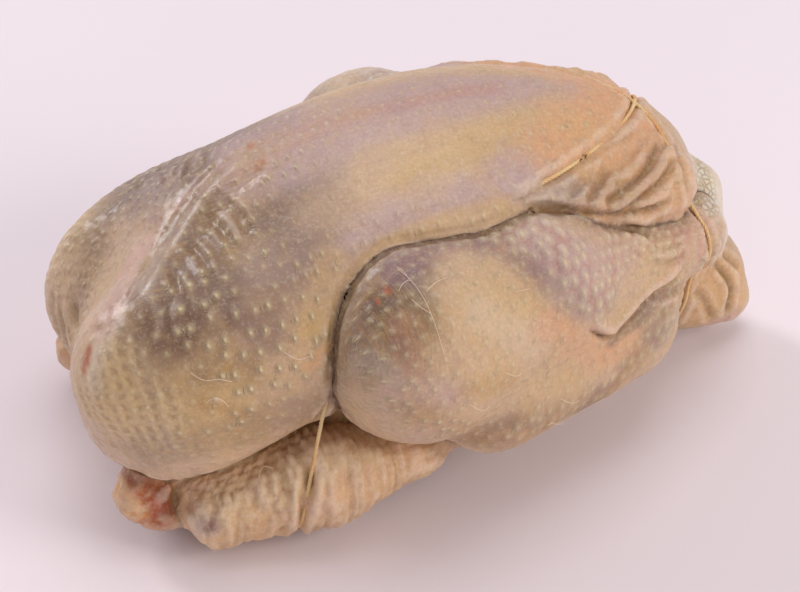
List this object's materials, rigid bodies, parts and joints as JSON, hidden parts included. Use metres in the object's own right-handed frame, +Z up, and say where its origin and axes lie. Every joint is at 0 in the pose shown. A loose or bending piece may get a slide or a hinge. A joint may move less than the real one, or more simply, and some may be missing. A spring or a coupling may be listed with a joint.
{
  "type": "whole raw trussed chicken",
  "caption": "Whole raw chicken lying on its back, breast up, with legs and wings folded in and held by a loop of thin cotton twine.",
  "frame": {"origin": "on the flat of the back that the bird lies on, under the middle of the keel", "axes": "+X from the neck end to the tail, +Y to the bird's left side, +Z up through the breast"},
  "size_m": [0.2469, 0.1609, 0.122],
  "materials": {
    "skin": "raw poultry skin, moist and slightly glossy, yellow fat and mauve muscle showing through",
    "twine": "damp twisted cotton twine, matt, greyish yellow"
  },
  "bodies": {
    "root": {"bird": "skin", "twine": "twine"}
  },
  "joints": []
}
